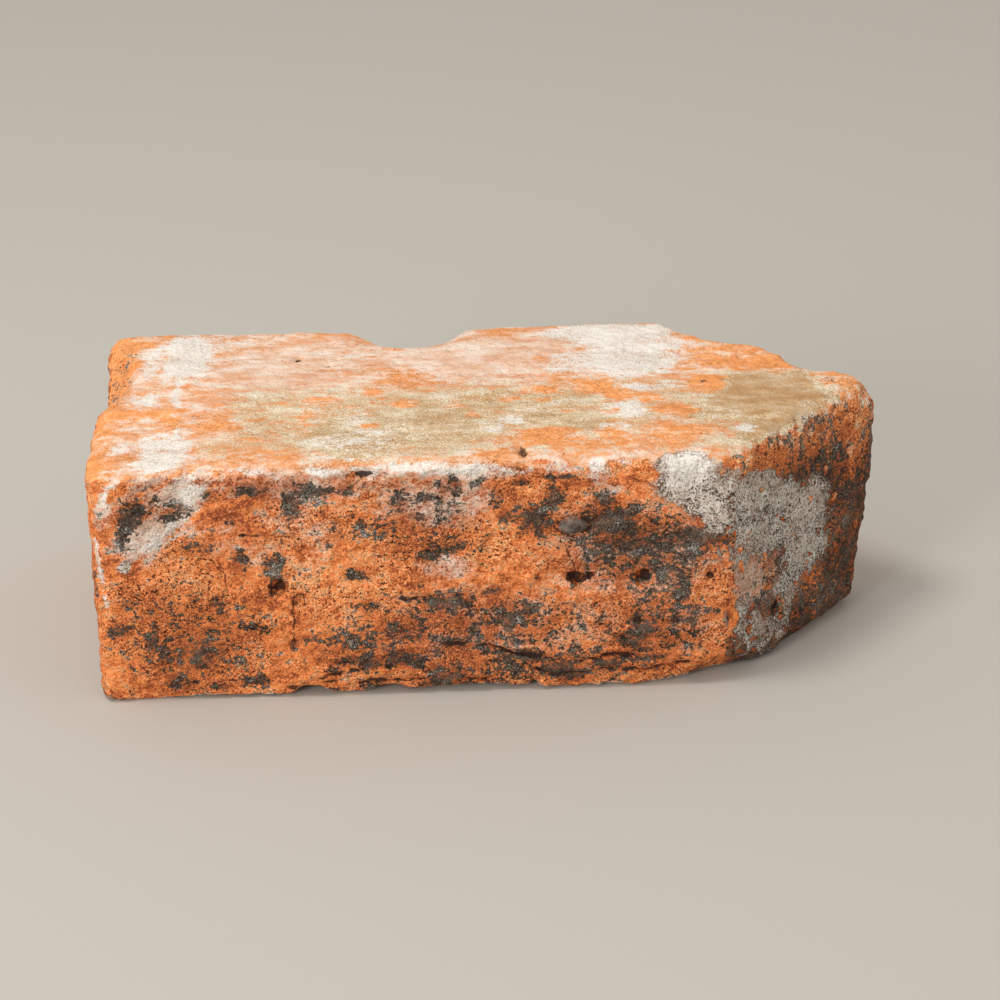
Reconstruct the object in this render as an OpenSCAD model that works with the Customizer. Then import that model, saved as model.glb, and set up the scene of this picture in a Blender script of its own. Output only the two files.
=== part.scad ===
// Reclaimed squint brick: one hand-moulded, fired clay brick with a square end and a pointed end.
// The squint face turns away from the line of the stretcher face, and the return is square to it.
// Millimetres, +Z up. The origin is in the middle of the lower bed, and the stretcher face looks along -Y.

/* [Brick] */
// Length over all, from the square end to the worn point
brick_length = 229; // [200:1:260]
// Width of the bed, from the stretcher face to the back
brick_width = 108; // [95:1:125]
// Height from bed to bed
brick_height = 73; // [60:1:90]

/* [Squint end] */
// Turn of the squint face from the line of the stretcher face, in degrees
squint_angle = 48; // [38:1:56]
// Length of the squint face, from its arris to the unworn point
squint_face = 76; // [60:1:90]

/* [Worn upright corners] */
// Radius of the corner between square end and stretcher face
quoin_radius = 6; // [5.5:0.5:14]
// Radius of the corner between square end and back
back_quoin_radius = 7; // [5.5:0.5:14]
// Radius of the blunt corner between stretcher face and squint face
squint_radius = 16; // [9:0.5:24]
// Radius of the point
point_radius = 12; // [10.5:0.5:16]
// Radius of the blunt corner between return and back
return_radius = 18; // [9:0.5:24]

/* [Worn arrises] */
// Radius of the arris round the struck upper bed
struck_arris = 5; // [2:0.5:5.5]
// Radius of the arris round the lower bed
bed_arris = 2.5; // [1:0.5:5]
// Radius of both arrises where they wear most, at the point
point_arris = 9.5; // [5:0.5:10]

/* [Spalls] */
// Middle of the spall on the back arris, from the square end
back_spall_from = 93; // [60:1:120]
// Length of that spall along the arris
back_spall_length = 36; // [20:1:50]
// Depth of that spall below the upper bed
back_spall_bite = 9; // [4:0.5:12]
// Middle of the spall on the return's upper arris, from the unworn point
return_spall_from = 23; // [18:1:45]
// Length of that spall along the arris
return_spall_length = 30; // [15:1:40]
// Depth of that spall below the unworn arris
return_spall_bite = 9; // [4:0.5:12]
// Middle of the wasted stretch of that arris, from the back corner of the return
return_flake_from = 13; // [5:1:25]
// Length of that stretch along the arris
return_flake_length = 52; // [30:1:60]
// Depth of that stretch below the unworn arris
return_flake_bite = 8; // [4:0.5:12]
// Middle of the spall on the square end's upper arris, from the back
end_spall_from = 38; // [25:1:50]
// Length of that spall along the arris
end_spall_length = 50; // [30:1:70]
// Depth of that spall below the unworn arris
end_spall_bite = 7.5; // [3:0.5:9]
// Length of the spall at the foot of the point's upright arris, if it ran on below the lower bed
point_spall_length = 110; // [80:1:160]
// Depth of that spall behind the unworn point
point_spall_bite = 9.5; // [6:0.5:11]
// Radius of the break at the foot of the blunt squint corner
foot_break_radius = 60; // [40:1:90]
// Depth of that break behind the unworn corner
foot_break_bite = 8; // [5:0.5:11]

/* [Hollows] */
// Reach of the dip that wear made in the upper bed at the quoin, along both of its arrises
quoin_dip_reach = 42; // [25:1:50]
// Depth of that dip at the unworn corner
quoin_dip_depth = 2; // [1:0.25:3]
// Middle of the hollow in the square end, from the back
end_hollow_from = 36; // [25:1:50]
// Middle of that hollow above the lower bed
end_hollow_up = 36; // [30:1:42]
// Width across that hollow
end_hollow_width = 76; // [40:1:90]
// Depth of that hollow
end_hollow_depth = 1.5; // [0.5:0.25:3]
// Height above the lower bed of the row of blow holes in the stretcher face
blow_hole_up = 34.5; // [20:0.5:50]
// Place of each blow hole in that row, from the square end
blow_holes_from = [53, 138, 157.5]; // [20:0.5:170]
// Width of a blow hole at its mouth
blow_hole_mouth = 4.5; // [4:0.5:7]
// Depth of a blow hole
blow_hole_depth = 1.75; // [0.5:0.25:1.75]

/* [Hidden] */
clay_red = [0.72, 0.31, 0.16];
round_steps = 48;
arris_steps = 6;
spall_steps = 72;
return_face = (brick_width - squint_face * sin(squint_angle)) / cos(squint_angle);
point_x = brick_length / 2 + point_radius * (sin(squint_angle) + cos(squint_angle) - 1);
end_x = -brick_length / 2;
front_y = -brick_width / 2;
back_y = brick_width / 2;
// Directions in plan: along the squint face to the point, and along the return away from it
along_squint = [cos(squint_angle), sin(squint_angle)];
along_return = [-sin(squint_angle), cos(squint_angle)];
front_out = [0, -1];
squint_out = [sin(squint_angle), -cos(squint_angle)];
return_out = along_squint;
// The unworn corners in plan
quoin = [end_x, front_y];
point = [point_x, front_y + squint_face * sin(squint_angle)];
squint_corner = point - squint_face * along_squint;
return_corner = point + return_face * along_return;
back_quoin = [end_x, back_y];
// Each upright corner: its place, the directions its two faces look in, its radius, its upper and lower arris
corners = [
    [quoin, [-1, 0], front_out, quoin_radius, struck_arris, bed_arris],
    [squint_corner, front_out, squint_out, squint_radius, struck_arris, bed_arris],
    [point, squint_out, return_out, point_radius, point_arris, point_arris],
    [return_corner, return_out, [0, 1], return_radius, struck_arris, bed_arris],
    [back_quoin, [0, 1], [-1, 0], back_quoin_radius, struck_arris, bed_arris]
];

function unit(v) = v / norm(v);
function raised(p, z) = [p.x, p.y, z];
// Centre of the circle of radius r that touches both faces of an upright corner from inside
function corner_centre(p, out_a, out_b, r) = p - r / (1 + out_a * out_b) * (out_a + out_b);
// Quarter arc of radius r about c, from angle a onwards
function quarter_arc(c, r, a) = [
    for (i = [0:arris_steps]) c + r * [cos(a + 90 * i / arris_steps), sin(a + 90 * i / arris_steps)]
];

// One upright corner of the brick, as a turned post with rounded rims
module corner_post(radius, upper_arris, lower_arris) {
    rotate_extrude($fn = round_steps)
        polygon(concat(
            [[0, brick_height], [0, 0]],
            quarter_arc([radius - lower_arris, lower_arris], lower_arris, -90),
            quarter_arc([radius - upper_arris, brick_height - upper_arris], upper_arris, 0)
        ));
}

// The brick as it left the mould, with its corners and arrises worn round
module worn_brick() {
    hull()
        for (c = corners)
            translate(raised(corner_centre(c[0], c[1], c[2], c[3]), 0))
                corner_post(c[3], c[4], c[5]);
}

// A ball that takes a bite of the given depth at a point of the unworn brick, from the outside
module bite(at, outward, radius, depth) {
    translate(at + (radius - depth) * unit(outward))
        sphere(r = radius, $fn = spall_steps);
}

// A spall or hollow that runs for the given length along a straight arris or across a flat face
module spall(at, outward, length, depth) {
    bite(at, outward, (length * length / 4 + depth * depth) / (2 * depth), depth);
}

module back_spall() {
    spall([end_x + back_spall_from, back_y, brick_height], [0, 0, 1], back_spall_length, back_spall_bite);
}

module return_spalls() {
    spall(raised(point + return_spall_from * along_return, brick_height), raised(return_out, 1),
        return_spall_length, return_spall_bite);
    spall(raised(return_corner - return_flake_from * along_return, brick_height), raised(return_out, 1),
        return_flake_length, return_flake_bite);
}

module end_spall() {
    spall([end_x, back_y - end_spall_from, brick_height], [-1, 0, 1], end_spall_length, end_spall_bite);
}

module point_spall() {
    spall(raised(point, 0), raised(squint_out + return_out, 0), point_spall_length, point_spall_bite);
}

module foot_break() {
    bite(raised(squint_corner, 0), raised(unit(front_out + squint_out), -1), foot_break_radius, foot_break_bite);
}

module quoin_dip() {
    spall(raised(quoin, brick_height), [0, 0, 1], 2 * quoin_dip_reach, quoin_dip_depth);
}

module end_hollow() {
    spall([end_x, back_y - end_hollow_from, end_hollow_up], [-1, 0, 0], end_hollow_width, end_hollow_depth);
}

module blow_holes() {
    for (from = blow_holes_from)
        spall([end_x + from, front_y, blow_hole_up], raised(front_out, 0), blow_hole_mouth, blow_hole_depth);
}

module brick() {
    color(clay_red)
        difference() {
            worn_brick();
            back_spall();
            return_spalls();
            end_spall();
            point_spall();
            foot_break();
            quoin_dip();
            end_hollow();
            blow_holes();
        }
}

brick();
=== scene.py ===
import math

import bmesh
import bpy
import numpy as np
from mathutils import Matrix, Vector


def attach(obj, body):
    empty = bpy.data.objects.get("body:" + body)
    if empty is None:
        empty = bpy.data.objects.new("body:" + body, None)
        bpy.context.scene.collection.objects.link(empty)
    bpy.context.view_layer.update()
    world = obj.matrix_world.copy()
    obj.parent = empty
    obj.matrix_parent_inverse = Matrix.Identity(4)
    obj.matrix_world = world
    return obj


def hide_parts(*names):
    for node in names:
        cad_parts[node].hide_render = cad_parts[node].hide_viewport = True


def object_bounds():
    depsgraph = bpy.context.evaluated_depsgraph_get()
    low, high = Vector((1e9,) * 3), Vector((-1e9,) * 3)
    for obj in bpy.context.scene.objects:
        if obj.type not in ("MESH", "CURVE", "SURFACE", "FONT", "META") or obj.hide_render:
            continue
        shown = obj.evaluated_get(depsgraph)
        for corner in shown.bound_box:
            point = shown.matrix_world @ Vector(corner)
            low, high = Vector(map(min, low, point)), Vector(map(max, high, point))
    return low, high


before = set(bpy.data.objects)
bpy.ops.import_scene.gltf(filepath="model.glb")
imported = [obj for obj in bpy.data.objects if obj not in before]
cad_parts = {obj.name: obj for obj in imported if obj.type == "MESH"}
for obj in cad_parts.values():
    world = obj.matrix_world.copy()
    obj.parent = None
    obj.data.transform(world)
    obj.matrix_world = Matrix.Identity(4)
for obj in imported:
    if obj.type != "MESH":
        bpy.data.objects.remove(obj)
cad_low, cad_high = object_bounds()

# The brick: one lump of red clay, thrown by hand into a sanded mould, struck level along its upper bed and
# fired. It is a squint special, with a pointed end, and it has been through a wall: its arrises are worn and
# spalled, lime and mortar have left films on it, and its faces are blackened in flecks.
MM = 0.001
height, half_width = 73.0, 54.0
squint_turn = math.radians(48)
squint_start = np.array([68.6, -half_width, 0.0])
along_squint = np.array([math.cos(squint_turn), math.sin(squint_turn), 0.0])
squint_out = np.array([math.sin(squint_turn), -math.cos(squint_turn), 0.0])

# The skin starts as a copy of the solid, cut into an even net of small faces that can take the relief.
net_size, weld_gap = 0.8, 0.02
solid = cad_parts["brick"]
skin = bpy.data.objects.new("brick_skin", solid.data.copy())
bpy.context.scene.collection.objects.link(skin)
shell = bmesh.new()
shell.from_mesh(skin.data)
bmesh.ops.remove_doubles(shell, verts=shell.verts, dist=weld_gap * MM)
shell.to_mesh(skin.data)
shell.free()


def settle(piece):
    """Turns a piece and its modifiers into one plain mesh."""
    layers = bpy.context.evaluated_depsgraph_get()
    made = bpy.data.meshes.new_from_object(piece.evaluated_get(layers))
    piece.modifiers.clear()
    old, piece.data = piece.data, made
    bpy.data.meshes.remove(old)


remesh = skin.modifiers.new("even net", "REMESH")
remesh.mode = "VOXEL"
remesh.voxel_size = net_size * MM
settle(skin)


def vertex_places(mesh):
    """The vertices of a mesh, in millimetres."""
    places = np.empty(len(mesh.vertices) * 3)
    mesh.vertices.foreach_get("co", places)
    return places.reshape(-1, 3) / MM


def vertex_normals(mesh):
    normals = np.empty(len(mesh.vertices) * 3)
    mesh.vertex_normals.foreach_get("vector", normals)
    return normals.reshape(-1, 3)


def smooth(low, high, value):
    """Rises gently from 0 at the first value to 1 at the second, which may be the lower one."""
    t = np.clip((value - low) / (high - low), 0, 1)
    return t * t * (3 - 2 * t)


# Every random field below draws its slopes from one table, and its seed shifts it to a place of its own.
grain_seed, slope_count, seed_step = 41, 4096, 37.3
mix_x, mix_y, mix_z = 73856093, 19349663, 83492791
slopes = np.random.default_rng(grain_seed).normal(size=(slope_count, 3))
slopes /= np.linalg.norm(slopes, axis=1)[:, None]


def grain(points, size, seed):
    """A smooth random field, about -0.7 to 0.7, whose lumps have the given size in millimetres."""
    q = points / np.asarray(size, float) + seed_step * seed
    cell = np.floor(q).astype(np.int64)
    part = q - cell
    ease = part * part * part * (part * (part * 6 - 15) + 10)
    total = np.zeros(len(q))
    for corner in np.ndindex(2, 2, 2):
        at = cell + corner
        pick = (at[:, 0] * mix_x ^ at[:, 1] * mix_y ^ at[:, 2] * mix_z) % len(slopes)
        share = np.prod(np.where(np.array(corner) == 1, ease, 1 - ease), axis=1)
        total += share * np.einsum("ij,ij->i", slopes[pick], part - corner)
    return total


def rough(points, size, seed, layers=4):
    """The same field with finer and finer layers on it."""
    size = np.asarray(size, float)
    return sum(0.5**i * grain(points, size * 0.5**i, seed + i) for i in range(layers))


def lumps(points, size, seed):
    """Rounded lumps with creases between them, about -0.3 to 0.7."""
    return np.abs(grain(points, size, seed)) * 1.6 - 0.3


def spots(a, b, marks, spread=1.0):
    """How far inside the nearest of some marks a place is: 1 in its middle, 0 outside.
    A mark is its middle on the face, its two half sizes, its tilt in degrees and its strength."""
    strongest = np.zeros(len(a))
    for mid_a, mid_b, half_a, half_b, tilt, strength in marks:
        c, s = math.cos(math.radians(tilt)), math.sin(math.radians(tilt))
        along = ((a - mid_a) * c + (b - mid_b) * s) / (half_a * spread)
        across = ((b - mid_b) * c - (a - mid_a) * s) / (half_b * spread)
        strongest = np.maximum(strongest, strength * (1 - smooth(0.4, 1.6, np.hypot(along, across))))
    return strongest


def line_distance(a, b, line):
    """Distance from a line of points on a face, positive on its upper side."""
    best = np.full(len(a), 1e3)
    for (a0, b0), (a1, b1) in zip(line, line[1:]):
        length = math.hypot(a1 - a0, b1 - b0)
        ua, ub = (a1 - a0) / length, (b1 - b0) / length
        run = (a - a0) * ua + (b - b0) * ub
        side = (b - b0) * ua - (a - a0) * ub
        over = np.maximum(0, np.maximum(-run, run - length))
        far = np.where(side < 0, -1, 1) * np.hypot(side, over)
        best = np.where(np.abs(far) < np.abs(best), far, best)
    return best


def facing(normals, direction):
    """1 where the skin looks in a direction, 0 where it looks well away from it."""
    return smooth(0.35, 0.8, normals @ np.asarray(direction, float))


def squint_run(points):
    """Distance along the squint face from its blunt corner."""
    return (points - squint_start) @ along_squint


def near_face(points, corner, outward):
    """1 within a few millimetres of the plane of a face, in its hollows too, and 0 deeper in the brick."""
    return smooth(-8.0, -5.0, (points - corner) @ np.asarray(outward, float))


def near_front(points):
    return near_face(points, squint_start, (0, -1, 0))


# Weather has rounded the edges of the spalls, most of all at the broken foot and along the back.
x, y, z = vertex_places(skin.data).T
foot_zone = smooth(22, 10, z) * smooth(40, 52, x) * smooth(100, 88, x) * smooth(-20, -34, y)
back_zone = smooth(24, 34, y) * smooth(50, 60, z) * smooth(-52, -44, x) * smooth(8, 0, x)
weathered = np.maximum(foot_zone, back_zone)
group = skin.vertex_groups.new(name="weathered")
wear_levels = 4
for level in range(1, wear_levels + 1):
    chosen = np.nonzero(np.round(weathered * wear_levels) == level)[0]
    group.add(chosen.tolist(), level / wear_levels, "REPLACE")
wear = skin.modifiers.new("worn edges", "SMOOTH")
wear.factor, wear.iterations = 0.5, 12
soften = skin.modifiers.new("weathered spalls", "SMOOTH")
soften.factor, soften.iterations, soften.vertex_group = 0.5, 130, "weathered"
settle(skin)


# Relief of the clay. The struck bed is smoother and dragged lengthwise; the moulded faces are sanded and
# lumpy. Each layer is a height in millimetres times a random field with lumps of a given size.
points = vertex_places(skin.data)
normals = vertex_normals(skin.data)
x, y, z = points.T
on_top = facing(normals, (0, 0, 1))
on_bed = facing(normals, (0, 0, -1))
on_front = facing(normals, (0, -1, 0))
on_squint = facing(normals, squint_out)
on_end = facing(normals, (-1, 0, 0))
moulded = 1 - np.maximum(on_top, on_bed)
worn = smooth(0.97, 0.80, np.abs(normals).max(axis=1))

lift = 0.9 * rough(points, 36, 1, 2)
lift += moulded * (
    0.8 * lumps(points, 10, 3) + 0.7 * lumps(points + 40, 4.5, 4) + 0.7 * rough(points, 2.6, 5, 2)
)
lift += worn * 0.8 * rough(points, 6, 8, 2)
lift += on_top * (0.4 * rough(points, (40, 8, 30), 13, 3) + 0.34 * rough(points, 5, 16, 2))

# Folds that the clay made as it was thrown, lying low on the stretcher face. Each has a lip above a cleft,
# and is given as its line along and up the face, its depth and the width of its cleft.
lip_above, lip_width, lip_share = 2.2, 2.0, 0.5
folds = [
    (
        [(-25, 15.1), (-15, 15.6), (-3, 14.6), (5, 12.1), (15, 10.4), (24, 8.8), (35, 10.1), (46, 10.8)],
        1.4, 0.7,
    ),
    ([(-2, 16.8), (14, 15.2), (26, 13.0), (38, 13.4)], 0.9, 0.6),
    ([(7, 7.5), (15, 5.4), (26, 5.3), (42, 5.9), (56, 7.6)], 1.2, 0.7),
    ([(-48.2, 6.8), (-36, 9.0), (-22.1, 8.2), (-12.9, 6.5), (1.1, 9.3)], 1.1, 0.6),
    ([(-59.9, 3.0), (-55.5, 4.5), (-51.1, 6.3), (-45.8, 7.4)], 1.4, 0.7),
    ([(-57, 2.3), (-51.7, 4.0), (-45.9, 5.8)], 1.2, 0.6),
    ([(-78, 52.5), (-66, 51.8), (-55, 49.6)], 0.8, 0.6),
    ([(-48, 10.7), (-33.6, 11.2), (-22, 13.7), (-13.3, 14.3)], 1.0, 0.6),
    ([(30, 20.6), (44, 21.4), (58, 19.2)], 0.9, 0.7),
    ([(-33, 30.2), (-16, 30.8), (-4, 32.6), (8, 34.1)], 1.0, 0.8),
    ([(19, 26.7), (30, 24.4), (42, 24.0)], 0.8, 0.8),
    ([(-40, 4.2), (-24, 4.6), (-6, 4.0), (8, 3.6)], 1.1, 0.7),
    ([(-96, 12.0), (-84, 9.0), (-70, 10.0)], 0.8, 0.7),
    ([(14, 17.0), (30, 15.4), (44, 16.4)], 0.8, 0.6),
]


def fold_shapes(points):
    """The clefts and the lips of the folds, broken up along their length."""
    x, z = points[:, 0], points[:, 2]
    sway = 1.6 * grain(points, 14, 21) + 1.2 * grain(points, 5, 22) + 0.6 * grain(points, 2.4, 26)
    broken = smooth(-0.32, 0.12, grain(points, (9, 9, 5), 24)) * near_front(points)
    cleft, lip = np.zeros(len(x)), np.zeros(len(x))
    for line, depth, width in folds:
        away = line_distance(x, z + sway, line)
        cleft = np.maximum(cleft, depth * broken * np.exp(-((away / width) ** 2)))
        swell = np.exp(-(((away - lip_above) / lip_width) ** 2))
        lip = np.maximum(lip, depth * broken * lip_share * swell)
    return cleft, lip


cleft, lip = fold_shapes(points)
lift += lip - cleft

# The foot of the moulded faces is ragged, where wet clay dragged on the moulding board.
foot = smooth(10, 1, z) * np.maximum(on_front, on_squint)
bites = 1.7 * smooth(0.0, 0.4, grain(points, (11, 40, 40), 71))
lift -= foot * (bites + 0.8 * rough(points, (5, 5, 3), 72, 2))

# Gaps under the foot of the stretcher face, where clay stuck to the board and tore off.
foot_gaps = [
    (-53.5, 0, 4.5, 3.5, 0, 2.4), (-31, 0, 4.5, 3.5, 0, 2.0), (-8, 0, 17, 2.5, 0, 0.9),
    (10.8, 0, 1.2, 4, 0, 1.8),
]
torn = spots(x + grain(points, 4, 73), z, foot_gaps) * smooth(-36, -48, y)

# Blow holes and holes that grit fell out of, on the stretcher face, the struck bed and the squint face. A
# hole is a mark whose strength is its depth.
front_holes = [
    (-61.5, 34.7, 2.0, 1.6, 0, 1.7), (23.0, 34.9, 2.6, 1.6, -6, 1.8), (27.2, 35.6, 1.5, 0.9, 30, 1.9),
    (43.0, 34.6, 1.7, 2.0, 25, 1.8), (-0.9, 48.9, 0.9, 0.7, 30, 1.1), (7.9, 48.3, 0.9, 1.1, 0, 1.2),
    (-58.4, 17.2, 1.0, 1.4, 15, 1.5), (-36.7, 69.3, 2.4, 1.0, 0, 1.8), (61.7, 34.5, 1.0, 1.3, -25, 1.5),
    (29, 26.4, 1.2, 0.9, 40, 1.0), (-57, 30.0, 1.3, 1.6, 0, 1.0), (-19, 45.5, 1.0, 0.8, 0, 1.0),
]
top_holes = [
    (-56, 28.2, 1.2, 1.7, 0, 2.0), (-47, 21.6, 1.7, 1.6, 0, 1.0), (8.4, -47.0, 1.4, 3.8, 8, 1.2),
]
squint_holes = [(22.1, 16.2, 1.5, 2.6, -20, 2.2), (1.0, 20.5, 1.2, 1.8, 0, 1.0)]


def hole_depth(points):
    """Depth of the holes at each place, with ragged mouths."""
    x = points[:, 0] + 1.7 * grain(points, 2.6, 27)
    y = points[:, 1] + 1.5 * grain(points, 2.6, 28)
    z = points[:, 2] + 1.3 * grain(points, 2.0, 29)
    front = near_front(points) * spots(x, z, front_holes)
    top = near_face(points, (0, 0, height), (0, 0, 1)) * spots(x, y, top_holes)
    squint = near_face(points, squint_start, squint_out) * spots(squint_run(points), z, squint_holes)
    return np.maximum(front, np.maximum(top, squint))


lift -= hole_depth(points)
# The four largest holes have crumbled rims.
rims = [(hole[0], hole[1], 4.5, 4.0, 0, 1.0) for hole in front_holes[:4]]
lift += on_front * spots(x, z, rims) * 1.3 * rough(points, 2.6, 30, 2)

# A flat stone in the stretcher face, in the ring-shaped gap that the clay shrank away from it.
stone_along, stone_up, stone_half_length, stone_half_height = 22.4, 51.6, 4.2, 2.6


def from_stone(points):
    """Distance from the middle of the stone, as a share of its half sizes: 1 at its edge."""
    along = (points[:, 0] - stone_along) / stone_half_length
    return np.hypot(along, (points[:, 2] - stone_up) / stone_half_height)


stone_share = from_stone(points)
stone_crown = 1.3 * (1 - smooth(0.3, 1.0, stone_share))
shrink_gap = 0.8 * np.exp(-(((stone_share - 1.2) / 0.22) ** 2))
lift += on_front * (stone_crown - shrink_gap)

# The quoin stands proud of the square end and dips below a lip on the struck bed; the point swells above
# mid-height.
quoin_lip = -14 + 1.5 * grain(points, 9, 23)
lift += on_end * 0.4 * smooth(quoin_lip + 6, quoin_lip - 3, y) * smooth(6, 30, z)
dip = smooth(quoin_lip + 1, quoin_lip - 2.5, y) * smooth(-86, -97, x)
lift += on_top * (0.7 * np.exp(-(((y - quoin_lip - 2) / 3) ** 2)) * smooth(-86, -95, x) - 0.5 * dip)
lift += 0.9 * smooth(100, 110, x) * smooth(38, 42, z) * smooth(70, 60, z)

places = points + normals * lift[:, None]
places[:, 2] = np.maximum(places[:, 2] + torn, 0)
skin.data.vertices.foreach_set("co", (places * MM).ravel())
pitted = skin.data.attributes.new("pitted", "FLOAT", "POINT")
pitted.data.foreach_set("value", (moulded + 0.3 * on_top).astype(np.float32))
skin.data.update()


def add_node(tree, kind, values=(), **settings):
    """A node with its settings, and its inputs by name or number: a value, or a socket to link from."""
    node = tree.nodes.new(kind)
    for name, value in settings.items():
        setattr(node, name, value)
    for key, value in dict(values).items():
        socket = node.inputs[key]
        if isinstance(value, bpy.types.NodeSocket):
            tree.links.new(value, socket)
        else:
            socket.default_value = value
    return node


def math_node(operation, a, b):
    """A sum, product or other step on two values, in the tree at hand."""
    return add_node(tree, "ShaderNodeMath", {0: a, 1: b}, operation=operation).outputs[0]


def start_tree(name, inputs):
    """A geometry tree with named inputs, its input sockets, and the identifiers of those inputs."""
    tree = bpy.data.node_groups.new(name, "GeometryNodeTree")
    tree.interface.new_socket("Geometry", in_out="OUTPUT", socket_type="NodeSocketGeometry")
    names = {}
    for label, kind in inputs:
        names[label] = tree.interface.new_socket(label, in_out="INPUT", socket_type=kind).identifier
    return tree, tree.nodes.new("NodeGroupInput").outputs, names


def put_tree(piece, tree, names, values):
    layer = piece.modifiers.new(tree.name, "NODES")
    layer.node_group = tree
    for label, value in values.items():
        layer[names[label]] = value


def strew(given, amount):
    """Points strewn over the skin, more of them where it is pitted."""
    where = add_node(tree, "GeometryNodeInputNamedAttribute", {"Name": "pitted"}, data_type="FLOAT")
    density = math_node("MULTIPLY", given[amount], where.outputs[0])
    scatter = add_node(
        tree,
        "GeometryNodeDistributePointsOnFaces",
        {"Mesh": given["Skin"], "Density": density, "Seed": given["Seed"]},
    )
    return scatter.outputs["Points"]


# Pinholes all over the skin, where air and burnt-out bits left the clay.
tree, given, names = start_tree(
    "pinholes",
    [
        ("Skin", "NodeSocketGeometry"),
        ("Holes per square metre", "NodeSocketFloat"),
        ("Radius", "NodeSocketFloat"),
        ("Depth", "NodeSocketFloat"),
        ("Seed", "NodeSocketInt"),
    ],
)
holes = strew(given, "Holes per square metre")
smallest, largest = 0.45, 1.0
vary = add_node(
    tree, "FunctionNodeRandomValue", {2: smallest, 3: largest, "Seed": given["Seed"]}, data_type="FLOAT"
)
nearest = add_node(tree, "GeometryNodeSampleNearest", {"Geometry": holes}, domain="POINT")
spot = add_node(tree, "GeometryNodeInputPosition")
hole_place = add_node(
    tree,
    "GeometryNodeSampleIndex",
    {"Geometry": holes, "Value": spot.outputs[0], "Index": nearest.outputs["Index"]},
    data_type="FLOAT_VECTOR",
)
hole_size = add_node(
    tree,
    "GeometryNodeSampleIndex",
    {"Geometry": holes, "Value": vary.outputs[1], "Index": nearest.outputs["Index"]},
    data_type="FLOAT",
)
gap = add_node(
    tree, "ShaderNodeVectorMath", {0: spot.outputs[0], 1: hole_place.outputs[0]}, operation="DISTANCE"
)
mouth = math_node("MULTIPLY", given["Radius"], hole_size.outputs[0])
inside = add_node(
    tree,
    "ShaderNodeMapRange",
    {"Value": gap.outputs["Value"], "From Min": mouth, "From Max": 0.0, "To Min": 0.0, "To Max": 1.0},
    interpolation_type="SMOOTHSTEP",
)
depth = math_node("MULTIPLY", given["Depth"], hole_size.outputs[0])
sink = math_node("MULTIPLY", inside.outputs[0], depth)
down = math_node("MULTIPLY", sink, -1.0)
outward = add_node(tree, "GeometryNodeInputNormal")
push = add_node(tree, "ShaderNodeVectorMath", {0: outward.outputs[0], "Scale": down}, operation="SCALE")
moved = add_node(tree, "GeometryNodeSetPosition", {"Geometry": given["Skin"], "Offset": push.outputs[0]})
add_node(tree, "NodeGroupOutput", {0: moved.outputs[0]})
put_tree(
    skin, tree, names, {"Holes per square metre": 22000.0, "Radius": 1.3 * MM, "Depth": 0.8 * MM, "Seed": 5}
)

# Flat stretches need fewer faces than rough ones.
most_faces = 180000
settle(skin)
skin.data.calc_loop_triangles()
thin = skin.modifiers.new("thin out flat stretches", "DECIMATE")
thin.ratio = min(1, most_faces / len(skin.data.loop_triangles))
settle(skin)

# Grit: hard grains of the sand that was mixed into the clay, standing out of its skin.
tree, given, names = start_tree(
    "grit",
    [
        ("Skin", "NodeSocketGeometry"),
        ("Grains per square metre", "NodeSocketFloat"),
        ("Grain radius", "NodeSocketFloat"),
        ("Seed", "NodeSocketInt"),
        ("Clay", "NodeSocketMaterial"),
    ],
)
spread = strew(given, "Grains per square metre")
ball = add_node(tree, "GeometryNodeMeshIcoSphere", {"Radius": given["Grain radius"], "Subdivisions": 1})
turn = add_node(
    tree,
    "FunctionNodeRandomValue",
    {0: (0.0, 0.0, 0.0), 1: (math.tau, math.tau, math.tau), "Seed": given["Seed"]},
    data_type="FLOAT_VECTOR",
)
girth = add_node(
    tree,
    "FunctionNodeRandomValue",
    {0: (0.5, 0.5, 0.4), 1: (1.3, 1.0, 0.8), "Seed": given["Seed"]},
    data_type="FLOAT_VECTOR",
)
grains = add_node(
    tree,
    "GeometryNodeInstanceOnPoints",
    {
        "Points": spread,
        "Instance": ball.outputs["Mesh"],
        "Rotation": turn.outputs[0],
        "Scale": girth.outputs[0],
    },
)
loose = add_node(tree, "GeometryNodeRealizeInstances", {0: grains.outputs[0]})
whole = add_node(tree, "GeometryNodeJoinGeometry")
tree.links.new(given["Skin"], whole.inputs[0])
tree.links.new(loose.outputs[0], whole.inputs[0])
coated = add_node(tree, "GeometryNodeSetMaterial", {"Geometry": whole.outputs[0], "Material": given["Clay"]})
add_node(tree, "NodeGroupOutput", {0: coated.outputs[0]})
fired_clay = bpy.data.materials.new("fired_clay")
put_tree(
    skin,
    tree,
    names,
    {"Grains per square metre": 7000.0, "Grain radius": 0.5 * MM, "Seed": 11, "Clay": fired_clay},
)
settle(skin)
for polygon in skin.data.polygons:
    polygon.use_smooth = True

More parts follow.
